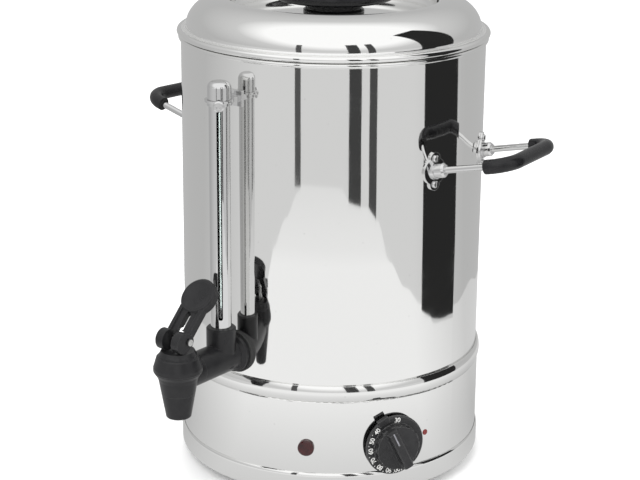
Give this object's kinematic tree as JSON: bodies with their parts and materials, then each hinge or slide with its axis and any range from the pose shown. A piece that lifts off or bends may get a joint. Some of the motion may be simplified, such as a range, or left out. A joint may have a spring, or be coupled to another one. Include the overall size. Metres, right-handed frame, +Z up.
{
  "type": "hot water urn",
  "caption": "Countertop hot water urn: mirror-steel drum on a base skirt, lift-off domed lid, lever tap with sight gauge, thermostat dial, pilot lamp and side handles.",
  "frame": {"origin": "on the drum's axis, in the plane of the foot ring's underside", "axes": "+Z up along the drum's axis, -Y towards the tap, +X towards the handle on the control knob's side"},
  "size_m": [0.3658, 0.3431, 0.402],
  "materials": {
    "polished_steel": "mirror-polished stainless sheet",
    "chrome_trim": "bright chrome plate",
    "steel_hardware": "plain stainless fixings",
    "element_sheath": "dull heat-tinted sheath",
    "brass_fittings": "turned brass",
    "copper_lead": "drawn copper",
    "foot_rubber": "matt black rubber",
    "seal_rubber": "black gasket rubber",
    "silicone_cup": "translucent white silicone",
    "control_plastic": "black phenolic, satin, white numbers on the dial",
    "tap_plastic": "black glass-filled plastic, satin",
    "grip_plastic": "black phenolic, half gloss",
    "gland_plastic": "black nylon",
    "switch_housing": "cream switchgear plastic",
    "lamp_lens": "dark red clear lens",
    "gauge_tube_glass": "clear glass tube"
  },
  "bodies": {
    "urn": {"tank": "polished_steel", "tank_bottom": "polished_steel", "seam_ring": "polished_steel", "base_skirt": "polished_steel", "base_pan": "polished_steel", "foot_ring": "foot_rubber", "foot_screws": "steel_hardware", "tie_stud": "steel_hardware", "tie_nut": "steel_hardware", "heating_element": "element_sheath", "element_seals": "seal_rubber", "element_nuts": "brass_fittings", "boil_dry_cutout": "switch_housing", "thermostat_body": "switch_housing", "thermostat_bulb": "copper_lead", "bulb_clip": "steel_hardware", "terminal_block": "switch_housing", "cable_gland": "gland_plastic", "gland_nut": "gland_plastic", "pilot_lamp_lens": "lamp_lens", "pilot_lamp_body": "switch_housing", "tap_body": "tap_plastic", "tap_shank": "tap_plastic", "tap_wall_washer": "seal_rubber", "tap_inner_washer": "seal_rubber", "tap_lock_nut": "brass_fittings", "tap_spout": "tap_plastic", "tap_bonnet": "tap_plastic", "gauge_glass": "gauge_tube_glass", "gauge_seal": "silicone_cup", "gauge_guard": "chrome_trim", "gauge_cap": "chrome_trim", "gauge_bracket": "chrome_trim", "bracket_screw": "chrome_trim", "bracket_rivet": "steel_hardware", "handle_wire_right": "chrome_trim", "handle_wire_left": "chrome_trim", "handle_grip_right": "grip_plastic", "handle_grip_left": "grip_plastic", "handle_lugs_right": "chrome_trim", "handle_lugs_left": "chrome_trim", "lug_screws": "chrome_trim", "lug_nuts": "steel_hardware"},
    "lid": {"lid_shell": "polished_steel", "lid_collar": "polished_steel", "lid_knob": "grip_plastic", "lid_washer": "steel_hardware", "lid_screw": "steel_hardware"},
    "valve": {"valve_stem": "steel_hardware", "valve_cup": "silicone_cup", "lever_pin": "steel_hardware", "valve_spring": "steel_hardware"},
    "lever": {"tap_lever": "tap_plastic"},
    "knob": {"control_knob": "control_plastic", "control_shaft": "steel_hardware"}
  },
  "joints": [
    {"name": "lid_lift", "type": "slide", "parent": "urn", "child": "lid", "axis": [0, 0, 1], "range_m": [0, 0.06]},
    {"name": "valve_lift", "type": "slide", "parent": "urn", "child": "valve", "axis": [0, 0, 1], "range_m": [0, 0.00318], "deforming": ["valve_spring"]},
    {"name": "lever_pull", "type": "hinge", "parent": "valve", "child": "lever", "pos_m": [0, -0.188, 0.147], "axis": [1, 0, 0], "range_deg": [0, 45], "stiffness_Nm_per_rad": 0.2, "springref_deg": -28.65},
    {"name": "knob_turn", "type": "hinge", "parent": "urn", "child": "knob", "pos_m": [0.10828, -0.06002, 0.048], "axis": [-0.8746, 0.4848, 0], "range_deg": [0, 290]}
  ],
  "couplings": [
    {"joint": "lever_pull", "follows": "valve_lift", "rad_per_m": 246.9}
  ]
}
